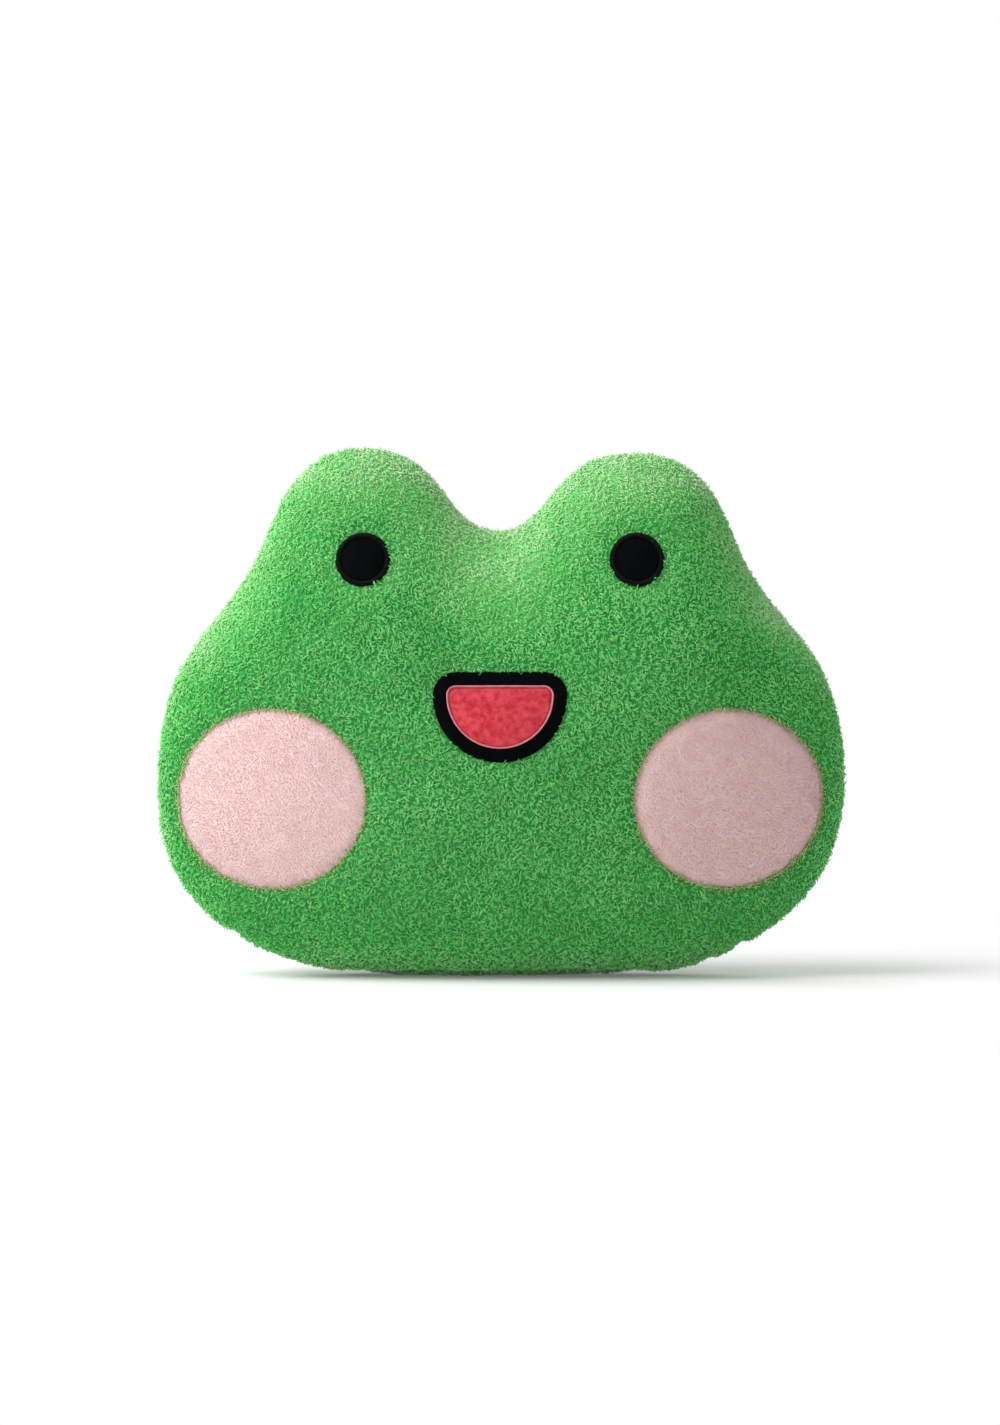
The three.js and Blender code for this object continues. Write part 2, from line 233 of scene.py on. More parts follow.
def eye_distance(points, side):
    """The same for an eye's round border."""
    middle, half = EYES[side]
    return np.linalg.norm(points[:, (0, 2)] - middle, axis=1) - half[1]


mouth_low, mouth_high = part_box("mouth_inner")
band_low, band_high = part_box("mouth_band")
MOUTH_CORNER = 4 * MM
MOUTH_RADIUS = (mouth_high.x - mouth_low.x) / 2 - MOUTH_CORNER
MOUTH_LEVEL = mouth_high.z - MOUTH_CORNER
MOUTH_GROWTH = (band_high.x - band_low.x) / 2 - MOUTH_RADIUS
MOUTH_EDGE_GROWTH = 5.0 * MM
MOUTH_EDGE_WIDTH = 1.0 * MM
MOUTH_HEART = np.array((0, MOUTH_LEVEL - 14 * MM))  # a point well inside the mouth


def mouth_distance(points):
    """How far each point lies outside the half disc that the mouth is grown from."""
    x = np.abs(points[:, 0])
    z = points[:, 2] - MOUTH_LEVEL
    below = np.hypot(x, z) - MOUTH_RADIUS
    above = np.hypot(np.maximum(x - MOUTH_RADIUS, 0), z)
    inner = np.maximum(below, z)
    return np.where(z > 0, above, np.where(below > 0, below, inner))


def mouth_outline(growth, pitch):
    """Points of the half disc and outward directions, evenly spaced at the given growth."""
    corner = math.pi / 2 * growth
    arc = math.pi * (MOUTH_RADIUS + growth)
    ends = np.cumsum((0, 2 * MOUTH_RADIUS, corner, arc, corner))
    count = round(ends[-1] / pitch)
    run = np.arange(count) * ends[-1] / count
    turn = math.pi * np.interp(run, ends, (0.5, 0.5, 0, -1, -1.5))
    base = MOUTH_RADIUS * headings(np.clip(turn, -math.pi, 0))
    on_lip = run < 2 * MOUTH_RADIUS
    base[on_lip, 0] = run[on_lip] - MOUTH_RADIUS
    return base + (0, MOUTH_LEVEL), headings(turn)


def base_side(points):
    """Above nought on the flanks, nought on the base seam, below nought on the base."""
    return body_distance(points) + START_DEPTH + points[:, 2] - BASE_LEVEL


def seam_distances(points):
    """How far each point lies from each line of stitches."""
    on_base = base_side(points)
    front = points[:, 1] < 0
    distances = {
        "side": np.where(on_base > 0, np.abs(points[:, 1]), np.inf),
        "base": np.abs(on_base) * BASE_SLANT,
    }
    for side in SIDES:
        distances[side] = np.where(front, np.abs(cheek_distance(points, side)), np.inf)
    return distances


# Meshes


def linked(name, data):
    """A new object in the scene."""
    thing = bpy.data.objects.new(name, data)
    bpy.context.scene.collection.objects.link(thing)
    return thing


def new_object(name, points, faces):
    """A smooth mesh object of the given points and faces."""
    mesh = bpy.data.meshes.new(name)
    mesh.from_pydata(points, [], faces)
    mesh.polygons.foreach_set("use_smooth", np.full(len(mesh.polygons), True))
    mesh.update()
    return linked(name, mesh)


def coordinates(mesh):
    """A mesh's points as rows."""
    values = np.empty(len(mesh.vertices) * 3)
    mesh.vertices.foreach_get("co", values)
    return values.reshape(-1, 3)


def triangles(mesh):
    """A mesh's faces as rows of three points each."""
    mesh.calc_loop_triangles()
    values = np.empty(len(mesh.loop_triangles) * 3, int)
    mesh.loop_triangles.foreach_get("vertices", values)
    return values.reshape(-1, 3)


def slopes(points, faces):
    """The normal at each point, as the mean of the faces round it."""
    corners = points[faces]
    flat = np.cross(corners[:, 1] - corners[:, 0], corners[:, 2] - corners[:, 0])
    total = np.zeros_like(points)
    for corner in range(3):
        np.add.at(total, faces[:, corner], flat)
    return unit(total)


def grid_faces(rows, columns, corners=(0, 1, 3, 0, 3, 2), closed=True):
    """Two triangles for each cell of a grid of points, by the order of the cell's corners."""
    here = np.arange(rows * columns).reshape(rows, columns)
    beside = np.roll(here, -1, axis=1)
    cells = np.stack((here[:-1], beside[:-1], here[1:], beside[1:]), axis=2)
    if not closed:
        cells = cells[:, :-1]
    return cells[:, :, corners].reshape(-1, 3)


def evaluated_mesh(thing):
    """A copy of an object's mesh with its modifiers applied."""
    graph = bpy.context.evaluated_depsgraph_get()
    return bpy.data.meshes.new_from_object(thing.evaluated_get(graph), depsgraph=graph)


def clipped(points, faces, value):
    """The part of a triangle mesh where value is above nought, cut along its edge."""
    inside = value > 0
    kept = inside[faces].sum(1)
    made, starts, ends = [faces[kept == 3]], [], []
    total = len(points)
    for number in (1, 2):
        cut_faces = faces[kept == number]
        odd = np.argmax(inside[cut_faces] == (number == 1), axis=1)
        turn = (odd[:, None] + np.arange(3)) % 3
        first, second, third = np.take_along_axis(cut_faces, turn, axis=1).T
        ids = []
        for other in (second, third):
            a, b = (first, other) if number == 1 else (other, first)
            starts.append(a)
            ends.append(b)
            ids.append(total + np.arange(len(cut_faces)))
            total += len(cut_faces)
        halves = ((first, *ids),)
        if number == 2:
            halves = ((second, third, ids[1]), (second, ids[1], ids[0]))
        made += [np.stack(corners, axis=1) for corners in halves]
    starts, ends = np.concatenate(starts), np.concatenate(ends)
    share = (value[starts] / (value[starts] - value[ends]))[:, None]
    fresh = points[starts] * (1 - share) + points[ends] * share
    edges = starts * len(points) + ends
    _, first_use, use = np.unique(edges, return_index=True, return_inverse=True)
    new_ids = np.concatenate((np.arange(len(points)), len(points) + use))
    faces = new_ids[np.concatenate(made)]
    points = np.concatenate((points, fresh[first_use]))
    used, faces = np.unique(faces, return_inverse=True)
    return points[used], faces.reshape(-1, 3)


def tubes(paths, radii, sides, across, pointed=False):
    """Many closed tubes at once. across is a direction that the paths never follow, or one each."""
    count = len(paths)
    along = unit(np.gradient(paths, axis=1))
    first = unit(np.cross(along, np.asarray(across)[..., None, :]))
    second = np.cross(along, first)
    angles = full_turn(sides)
    spread = first[:, :, None] * np.cos(angles)[:, None]
    spread += second[:, :, None] * np.sin(angles)[:, None]
    rings = paths[:, :, None] + spread * radii[:, :, None, None]
    if pointed:
        rings = rings[:, :-1]
    points = rings.reshape(count, -1, 3)
    faces = grid_faces(rings.shape[1], sides).tolist()
    end = (rings.shape[1] - 1) * sides
    if pointed:
        points = np.concatenate((points, paths[:, -1:]), axis=1)
        faces += [(end + side, end + (side + 1) % sides, end + sides) for side in range(sides)]
    else:
        faces += [(end, end + side, end + side + 1) for side in range(1, sides - 1)]
    faces += [(0, side + 1, side) for side in range(1, sides - 1)]
    shift = np.arange(count) * points.shape[1]
    return points, np.array(faces)[None] + shift[:, None, None]


# Shaders


def colour(red, green, blue):
    """A display colour of 0 to 255 as the shaders take it."""
    shares = np.array((red, green, blue)) / 255
    linear = np.where(shares <= 0.04045, shares / 12.92, ((shares + 0.055) / 1.055) ** 2.4)
    return (*linear.tolist(), 1.0)


def shader(name, base, roughness=0.9, sheen=0.0, sheen_colour=(255, 255, 255), specular=0.2):
    """A material with one Principled shader, and that shader."""
    material = bpy.data.materials.new(name)
    material.use_nodes = True
    surface = material.node_tree.nodes["Principled BSDF"]
    values = {
        "Base Color": colour(*base),
        "Roughness": roughness,
        "Sheen Weight": sheen,
        "Sheen Roughness": 0.5,
        "Sheen Tint": colour(*sheen_colour),
        "Specular IOR Level": specular,
    }
    for entry, value in values.items():
        surface.inputs[entry].default_value = value
    return material, surface


def wire(tree, source, output, target, entry):
    """Links one node's output to another's input, each by name or number."""
    tree.links.new(source.outputs[output], target.inputs[entry])


def add_node(tree, kind, **values):
    """A new node with its settings and plain inputs."""
    node = tree.nodes.new(kind)
    for key, value in values.items():
        if hasattr(node, key):
            setattr(node, key, value)
        else:
            node.inputs[key.replace("_", " ").title()].default_value = value
    return node


def mottle(tree, surface, low, high, size):
    """Colours a surface in patches between two tones."""
    place = add_node(tree, "ShaderNodeTexCoord")
    noise = add_node(tree, "ShaderNodeTexNoise", scale=1 / size, detail=3.0)
    ramp = add_node(tree, "ShaderNodeValToRGB")
    for element, position, tone in zip(ramp.color_ramp.elements, (0.35, 0.65), (low, high)):
        element.position = position
        element.color = colour(*tone)
    wire(tree, place, "Object", noise, "Vector")
    wire(tree, noise, "Fac", ramp, "Fac")
    wire(tree, ramp, "Color", surface, "Base Color")
    return place


def raised(tree, surface, source, output, strength, height):
    """Raises a surface by what a node gives."""
    bump = add_node(tree, "ShaderNodeBump", strength=strength, distance=height)
    wire(tree, source, output, bump, "Height")
    wire(tree, bump, "Normal", surface, "Normal")


def painted_top_light(tree, surface, tone):
    """Paints light from above: blends a cloth's colour into a paler tone where it faces up."""
    blend = add_node(tree, "ShaderNodeMix", data_type="RGBA")
    place = add_node(tree, "ShaderNodeTexCoord")
    split = add_node(tree, "ShaderNodeSeparateXYZ")
    share = add_node(tree, "ShaderNodeMapRange", from_min=PAINTED_LIGHT_FROM, from_max=TOP_SLOPE)
    wire(tree, place, "Normal", split, 0)
    wire(tree, split, "Z", share, "Value")
    wire(tree, share, 0, blend, "Factor")
    tree.links.new(surface.inputs["Base Color"].links[0].from_socket, blend.inputs[6])
    blend.inputs[7].default_value = colour(*tone)
    wire(tree, blend, 2, surface, "Base Color")


def cloth_material(
    name, low, high, loop=1.2 * MM, sheen=0.2, specular=0.2, patch=9 * MM, above=None
):
    """A knitted or brushed cloth of two tones, and perhaps a paler tone where it faces up, as
    painted light from above.
    """
    material, surface = shader(name, low, sheen=sheen, specular=specular)
    tree = material.node_tree
    place = mottle(tree, surface, low, high, patch)
    loops = add_node(tree, "ShaderNodeTexVoronoi", scale=1 / loop)
    wire(tree, place, "Object", loops, "Vector")
    raised(tree, surface, loops, "Distance", 0.6, 0.4 * MM)
    if above:
        painted_top_light(tree, surface, above)
    return material


def weave_material(name, low, high, roughness, pitch=0.4 * MM, height=0.1 * MM, specular=0.4):
    """A fine ribbon, thread or felt: two crossed sets of threads."""
    material, surface = shader(name, low, roughness, specular=specular)
    tree = material.node_tree
    place = mottle(tree, surface, low, high, 5 * MM)
    both = add_node(tree, "ShaderNodeMath", operation="MAXIMUM")
    for number, way in enumerate("XY"):
        wave = add_node(tree, "ShaderNodeTexWave", scale=1 / pitch, bands_direction=way)
        wire(tree, place, "Object", wave, "Vector")
        wire(tree, wave, "Fac", both, number)
    raised(tree, surface, both, "Value", 0.5, height)
    return material


def pile_materials(name, tones, sheen, sheen_colour=(255, 255, 255), specular=0.15):
    """One plain material for each tone of a pile."""
    return [
        shader(f"{name}_{number}", tone, 0.85, sheen, sheen_colour, specular)[0]
        for number, tone in enumerate(tones)
    ]


# Materials

PAINTED_LIGHT_FROM = 0.28  # the slope from which cloth that faces up is painted paler, as painted light from above
TOP_SLOPE = 0.6  # and no paler than at this one
GREEN_TONES = (
    (10, 128, 32), (20, 158, 46), (34, 184, 62), (58, 202, 78),
    (96, 212, 98), (130, 217, 122), (162, 223, 149), (188, 230, 172),
)
FRINGE_TONES = ((96, 158, 60), (124, 180, 72), (150, 198, 90), (174, 212, 112))
PINK_TONES = ((195, 165, 162), (200, 171, 168), (204, 177, 174), (207, 182, 179), (211, 188, 185))
BLACK_TONES = ((2, 2, 3), (3, 4, 5), (5, 6, 8))
RED_TONES = ((188, 30, 44), (206, 50, 64), (220, 74, 86), (232, 102, 110))

# The backing's paler tone where it faces up is painted light from above.
green_skin = cloth_material("green_backing", (34, 124, 48), (48, 146, 62), above=(106, 184, 102))
pink_skin = cloth_material("pink_backing", (215, 181, 179), (220, 190, 188), loop=0.9 * MM)
black_cloth = cloth_material("black_velour", (2, 3, 4), (5, 6, 8), 0.5 * MM, 0.0, specular=0.05)
red_cloth = cloth_material("red_velour", (188, 36, 50), (216, 78, 90), 0.5 * MM, patch=4 * MM)
black_satin = weave_material("black_satin", (1, 2, 3), (4, 5, 6), 0.65, specular=0.1)
pink_satin = weave_material("pink_satin", (204, 116, 128), (218, 140, 149), 0.5)
green_thread = weave_material("green_thread", (34, 98, 46), (56, 128, 66), 0.6)
pink_thread = weave_material("pink_thread", (196, 140, 138), (216, 166, 162), 0.6)
felt = weave_material("white_felt", (214, 214, 208), (232, 232, 226), 0.95, pitch=0.6 * MM)
ribbon = weave_material(
    "white_ribbon", (228, 226, 220), (240, 239, 235), 0.45, pitch=0.3 * MM, height=0.08 * MM
)
wadding = cloth_material("white_wadding", (226, 226, 222), (242, 242, 240), loop=3 * MM)

# Kinds of pile. A tone counts the kind's materials, from 0, the darkest.
PLUSH = {
    "tilt": 0.4,  # how far a strand leans at its root, in radians as the next two are
    "bend": 1.8,  # how much further it curls over
    "turn": 1.6,  # how far it may swing aside
    "steps": 3,
    "loose": 1.0,  # how far each strand goes a way of its own
    "spread": 0.75,  # of the tones from strand to strand
    "tone_steps": (-2.0, 0, 0.6),  # from a strand's root to its tip; the darker root is painted shade between the strands
}
GREEN_PILE = dict(
    PLUSH, slot="green_plush", root_seed=27, seed=40,
    materials=pile_materials("green_pile", GREEN_TONES, 0.7, (240, 244, 226)),
    clouds=((0.4, 26 * MM, 31), (0.35, 8 * MM, 32)),  # depth, size and seed of its drifts
    spacing=1.2 * MM, length=4.1 * MM, width=0.88 * MM, turn=1.3, loose=0.8, tone=2.8,
)
FRINGE_PILE = dict(
    GREEN_PILE, seed=45,
    materials=pile_materials("fringe_pile", FRINGE_TONES, 0.7, (244, 244, 220)),
    length=3.8 * MM, width=0.8 * MM, turn=1.0, tone=1.7, tone_steps=(-0.7, 0, 0.4),
)
PINK_PILE = dict(
    PLUSH, slot="pink_plush", root_seed=37, seed=50,
    materials=pile_materials("pink_pile", PINK_TONES, 0.1, (255, 240, 236)),
    clouds=((0.5, 20 * MM, 33),),
    spacing=0.9 * MM, length=1.8 * MM, width=0.42 * MM, tilt=0.3, bend=1.2, steps=2,
    tone=2.0, spread=0.2, tone_steps=(-0.5, 0.2),
)
EYE_PILE = dict(
    PLUSH, slot="black_velour", root_seed=60, seed=60,
    materials=pile_materials("black_pile", BLACK_TONES, 0.0, specular=0.05),
    spacing=0.6 * MM, length=0.8 * MM, width=0.25 * MM, tilt=0.25, bend=1.0, steps=2,
    tone=0.8, brushing=0.3, tone_steps=(-1.0, 0.3),
)
BAND_PILE = dict(
    EYE_PILE, root_seed=71, seed=71, spacing=0.62 * MM, length=1.1 * MM, width=0.28 * MM
)
RED_PILE = dict(
    EYE_PILE, slot="red_velour", root_seed=70, seed=70,
    materials=pile_materials("red_pile", RED_TONES, 0.15, (255, 190, 190)),
    spacing=0.56 * MM, length=0.9 * MM, width=0.32 * MM, tone=1.4, brushing=0.9,
)


# Pieces


def piece(name, points, faces, materials, nodes=(), thickness=None, offset=-1):
    """A mesh of the visual model, and what it is made of, rides on and stands for."""
    thing = new_object(name, points.reshape(-1, 3), faces.reshape(-1, 3))
    for material in materials:
        thing.data.materials.append(material)
    if thickness is not None:
        solid = thing.modifiers.new("thickness", "SOLIDIFY")
        solid.thickness = thickness
        solid.offset = offset
    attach(thing, BODY)
    if nodes:
        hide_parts(*nodes)
    return thing


def threads(name, paths, thickness, sides, across, material, node):
    """A piece of many round threads, none of them under the floor."""
    points, faces = tubes(paths, np.full(paths.shape[:2], thickness / 2), sides, across)
    points[:, :, 2] = np.maximum(points[:, :, 2], FLOOR_GAP)
    piece(name, points, faces, [material], [node])


# Stuffed shell


def seam_hold(points):
    """How firmly stitches hold each point: one on a seam, nought well away."""
    nearest = np.min(list(seam_distances(points).values()), axis=0)
    patch = np.min([np.abs(eye_distance(points, side)) for side in SIDES], axis=0)
    patch = np.minimum(patch, np.abs(mouth_distance(points) - MOUTH_GROWTH))
    patch = np.where(points[:, 1] < 0, patch, np.inf)
    return np.maximum(bell(nearest, PIN_WIDTH), PATCH_HOLD * bell(patch, PIN_WIDTH))


def inflated(form, rest):
    """The form's points after the filling has pressed its cloth outwards."""
    pins = form.vertex_groups.new(name="stitches")
    for index, hold in enumerate(seam_hold(rest)):
        pins.add([index], float(hold), "REPLACE")
    cloth = form.modifiers.new("cloth", "CLOTH")
    for key, value in STUFFING.items():
        setattr(cloth.settings, key, value)
    cloth.settings.vertex_group_mass = pins.name
    cloth.settings.effector_weights.gravity = 0
    cloth.point_cache.frame_end = FRAMES
    for step in range(1, FRAMES + 1):
        bpy.context.scene.frame_set(step)
    graph = bpy.context.evaluated_depsgraph_get()
    result = coordinates(form.evaluated_get(graph).data)
    form.modifiers.remove(cloth)
    bpy.context.scene.frame_set(1)
    moved = result - rest
    length = np.linalg.norm(moved, axis=1, keepdims=True)
    return rest + moved * np.minimum(1, SWELL_CAP / np.maximum(length, 1e-9))


def stuffed_form():
    """The closed form, swollen by its filling between the seams that hold it."""
    bpy.ops.mesh.primitive_ico_sphere_add(subdivisions=6, radius=1)
    ball = bpy.context.object
    ways = unit(coordinates(ball.data))
    points = last_inside(FAN, ways, form_distance)
    ball.data.vertices.foreach_set("co", points.ravel())
    remesh = ball.modifiers.new("remesh", "REMESH")
    remesh.mode = "VOXEL"
    remesh.voxel_size = VOXEL
    form = linked("form", evaluated_mesh(ball))
    bpy.data.objects.remove(ball)
    rest = coordinates(form.data)
    swollen = inflated(form, rest)
    form.data.vertices.foreach_set("co", swollen.ravel())
    fine = form.modifiers.new("fine", "SUBSURF")
    fine.levels = 1
    mesh = evaluated_mesh(form)
    bpy.data.objects.remove(form)
    return coordinates(mesh), triangles(mesh)


def sewn(points, faces):
    """The stuffed form's points with the seams drawn in and the base pressed flat."""
    inward = np.zeros(len(points))
    for number, (seam, distance) in enumerate(seam_distances(points).items()):
        inward += GROOVES[seam] * bell(distance, GROOVE_WIDTH)
        fold = ripple_field(points, PUCKER_PITCH, SEEDS["puckers"] + number)
        inward += PUCKER * fold * bell(distance, PUCKER_WIDTH)
    inward += LUMP * ripple_field(points, LUMP_SIZE, SEEDS["lumps"])
    edges = [eye_distance(points, side) for side in SIDES]
    edges.append(mouth_distance(points) - MOUTH_GROWTH)
    for edge in edges:
        inward += np.where(points[:, 1] < 0, DENT * bell(edge, DENT_WIDTH), 0)
    for x, z in GATHERS:
        away = np.hypot(points[:, 0] - x, points[:, 2] - z)
        inward += GATHER_DEPTH * bell(away, GATHER_WIDTH) * bell(points[:, 1], GATHER_REACH)
    points = points - slopes(points, faces) * inward[:, None]
    points[:, 2] = np.maximum(points[:, 2], BASE_LEVEL)
    return points


form_points, form_faces = stuffed_form()
skin_points = sewn(form_points, form_faces)
skin_slopes = slopes(skin_points, form_faces)
skin_tree = BVHTree.FromPolygons(skin_points.tolist(), form_faces.tolist())


def cut(part, test):
    """The part of a panel where a test of its points before sewing is above nought."""
    rest, skin, faces = part
    both, faces = clipped(np.hstack((rest, skin)), faces, test(rest))
    return both[:, :3], both[:, 3:], faces


def shell_panels():
    """Each panel of the shell: its points before and after sewing, and its faces."""
    whole = (form_points, skin_points, form_faces)
    upper = cut(whole, base_side)
    panels = {
        "front": cut(upper, lambda rest: -rest[:, 1]),
        "back": cut(upper, lambda rest: rest[:, 1]),
        "base": cut(whole, lambda rest: -base_side(rest)),
    }
    for side in SIDES:
        panels[side] = cut(panels["front"], lambda rest: -cheek_distance(rest, side))
        panels["front"] = cut(panels["front"], lambda rest: cheek_distance(rest, side))
    return panels


PANELS = shell_panels()


def on_skin(starts, ways):
    """Where rays meet the sewn shell, and its smooth normals there."""
    places, rises = [], []
    for start, way in zip(*np.broadcast_arrays(starts, ways)):
        place, _, face, _ = skin_tree.ray_cast(Vector(start), Vector(way))
        corners = form_faces[face]
        near = 1 / (np.linalg.norm(skin_points[corners] - np.array(place), axis=1) + 1e-6)
        places.append(place)
        rises.append(near @ skin_slopes[corners])
    return np.array(places), unit(np.array(rises))


def on_front(flat):
    """The same for points given by x and z, seen from the front."""
    return on_skin(np.insert(flat, 1, -0.5, axis=1), (0.0, 1.0, 0.0))


def make_shell():
    """The five panels' knitted backing, and the filling inside."""
    for part, (_, points, faces) in PANELS.items():
        stem, material, slot = part, green_skin, "green_plush"
        if part in SIDES:
            stem, material, slot = f"{part}_cheek", pink_skin, "pink_plush"
        piece(f"{stem}_plush", points, faces, [material], [f"{stem}_panel"],
              thickness=SKIN)
    lumps = WADDING_LUMP * ripple_field(skin_points, WADDING_LUMP_SIZE, SEEDS["wadding"])
    points = skin_points + skin_slopes * (lumps - WADDING_DEPTH)[:, None]
    piece("wadding", points, form_faces, [wadding], ["filling"])


# Pile

FACETS = 3  # round a strand
PIECE_TUFTS = 12000  # the most strands in a piece
LENGTHS = (0.8, 1.2)  # the least and the most that a strand has of its kind's measure
TILTS = (0.3, 1.7)
BENDS = (0.5, 1.3)
WIDTHS = (0.8, 1.2)
ROOT_WIDTH = 0.8  # as a share of a strand's widest
DROOP = 0.5  # how much plush leans down under its weight

# Green pile
CLUMP = 2.8 * MM  # the size of the tufts that lean together
CLUMPING = 1.1
EYE_PULL = 0.8  # how much the strands round an eye lean over its border
EYE_PULL_WIDTH = 3 * MM
EYE_GAP = 0.2 * MM  # from its border to the nearest root
TOP_PAINTED_LIGHT = 8.8  # how much paler the pile is painted where it faces up: painted light from above
TOP_GROWTH = 2.1
SIDE_PAINTED_LIGHT = 2.5  # how much paler it is painted at the sides, as painted light and sheen, for each unit of slope past the next value
SIDE_SLOPE = 0.5
TOP_SOFTNESS = 1.4  # how much less the roots' painted shade darkens them for each unit of slope
FOOT_PAINTED_LIGHT = 2.0  # how much paler it is low on the flanks: painted light against the shade near the floor
FOOT_HEIGHT = 20 * MM
SEAM_PAINTED_SHADE = 1.6  # how much darker it is at the seams: painted shade in their grooves
SEAM_TONE_WIDTH = 2 * MM
SEAM_TRIM = 0.45
SEAM_TRIM_WIDTH = 3 * MM
FRINGE = 3 * MM  # how far from a cheek's seam strands are yellower and lean over it
FRINGE_LEAN = 1.2

# Pink pile, at the cheeks' edges
EDGE_LEAN = 3  # out over the seam
EDGE_LEAN_WIDTH = 5 * MM
EDGE_GROWTH = 0.8
EDGE_GROWTH_WIDTH = 2 * MM


def scattered(points, faces, kind, number):
    """Evenly random roots for a kind of pile on a mesh, and the normals there."""
    ground = new_object("ground", points, faces)
    rise = ground.data.attributes.new("rise", "FLOAT_VECTOR", "POINT")
    rise.data.foreach_set("vector", slopes(points, faces).ravel())
    tree = bpy.data.node_groups.new("scatter", "GeometryNodeTree")
    for way in ("INPUT", "OUTPUT"):
        tree.interface.new_socket("Geometry", in_out=way, socket_type="NodeSocketGeometry")
    start = add_node(tree, "NodeGroupInput")
    spread = add_node(
        tree, "GeometryNodeDistributePointsOnFaces", distribute_method="POISSON",
        distance_min=kind["spacing"], density_max=5 / kind["spacing"] ** 2,
        seed=kind["root_seed"] + number,
    )
    corners = add_node(tree, "GeometryNodePointsToVertices")
    end = add_node(tree, "NodeGroupOutput")
    wire(tree, start, 0, spread, "Mesh")
    wire(tree, spread, "Points", corners, "Points")
    wire(tree, corners, 0, end, 0)
    ground.modifiers.new("scatter", "NODES").node_group = tree
    mesh = evaluated_mesh(ground)
    places = coordinates(mesh)
    normals = np.empty(len(places) * 3, np.float32)
    mesh.attributes["rise"].data.foreach_get("vector", normals)
    bpy.data.objects.remove(ground)
    bpy.data.node_groups.remove(tree)
    return places, unit(normals.reshape(-1, 3).astype(float))


def curls(roots, normals, kind, number, bias, growth):
    """Paths, radii and side directions of strands that rise and bend over."""
    random = np.random.default_rng(kind["seed"] + number)
    count = len(roots)
    steps, width = kind["steps"], kind["width"]
    lean = kind["loose"] * random.normal(size=(count, 3)) + bias
    lean = unit(lean - normals * (lean * normals).sum(1, keepdims=True))
    side = np.cross(normals, lean)
    lengths = kind["length"] * growth * random.uniform(*LENGTHS, count)
    tilts = kind["tilt"] * random.uniform(*TILTS, count)
    bends = kind["bend"] * random.uniform(*BENDS, count)
    turns = random.uniform(-kind["turn"], kind["turn"], count)
    paths = [roots - normals * width * 0.5]
    for step in range(steps):
        share = (step + 0.5) / steps
        angle = tilts + bends * share
        swing = turns * share
        way = np.cos(swing)[:, None] * lean + np.sin(swing)[:, None] * side
        heading = np.cos(angle)[:, None] * normals + np.sin(angle)[:, None] * way
        paths.append(paths[-1] + heading * (lengths / steps)[:, None])
    taper = np.linspace(ROOT_WIDTH, 1.0, steps + 1)
    radii = width / 2 * random.uniform(*WIDTHS, count)[:, None] * taper
    return np.stack(paths, axis=1), radii, side


def pile(name, roots, normals, kind, number, bias, tone, growth=1, contrast=1):
    """Pieces of pile: a curled strand at each root, paler toward its tip, its darker root painted
    shade between the strands.
    """
    paths, radii, side = curls(roots, normals, kind, number, bias, growth)
    contrast = np.broadcast_to(contrast, len(roots))
    random = np.random.default_rng(kind["seed"] + number + 1)
    levels = tone + contrast * random.normal(0, kind["spread"], len(roots))
    order = np.argsort(roots[:, 0], kind="stable")
    count = math.ceil(len(order) / PIECE_TUFTS)
    for share, chosen in enumerate(np.array_split(order, count), start=1):
        points, faces = tubes(paths[chosen], radii[chosen], FACETS, side[chosen], pointed=True)
        points[:, :, 2] = np.maximum(points[:, :, 2], FLOOR_GAP)
        ring = faces.min(axis=2) - faces.min(axis=(1, 2))[:, None]
        stage = np.minimum(ring // FACETS, kind["steps"] - 1)
        steps = np.array(kind["tone_steps"])[stage] * contrast[chosen][:, None]
        tones = np.round(levels[chosen][:, None] + steps)
        tones = np.clip(tones, 0, len(kind["materials"]) - 1).astype(int)
        tag = f"{name}_{share}" if count > 1 else name
        strands = piece(tag, points, faces, kind["materials"])
        strands.data.polygons.foreach_set("material_index", tones.ravel())


def clouded(points, tone, clouds):
    """A tone that drifts softly over a surface."""
    for depth, size, seed in clouds:
        tone = tone + depth * ripple_field(points, size, seed)
    return tone


def leaning(roots, on_face):
    """Which way the green pile leans: down, and over the borders of the eyes."""
    swirl = [ripple_field(roots, CLUMP, seed, waves=30) for seed in SEEDS["tufts"]]
    bias = CLUMPING * np.stack(swirl, axis=1) - (0, 0, DROOP)
    if on_face:
        for side in SIDES:
            out = unit(roots[:, (0, 2)] - EYES[side][0])
            pull = EYE_PULL * bell(eye_distance(roots, side), EYE_PULL_WIDTH)[:, None]
            bias[:, (0, 2)] -= out * pull
    return bias


def make_fringe(side, roots, normals, leans):
    """The strands that lean over one cheek's seam, and which roots they have taken."""
    near = np.abs(cheek_distance(roots, side)) < FRINGE
    bias = leans[near]
    bias[:, (0, 2)] += FRINGE_LEAN * unit(CHEEKS[side][0] - roots[near][:, (0, 2)])
    pile(f"{side}_cheek_fringe", roots[near], normals[near], FRINGE_PILE, 0, bias,
         FRINGE_PILE["tone"])
    return near


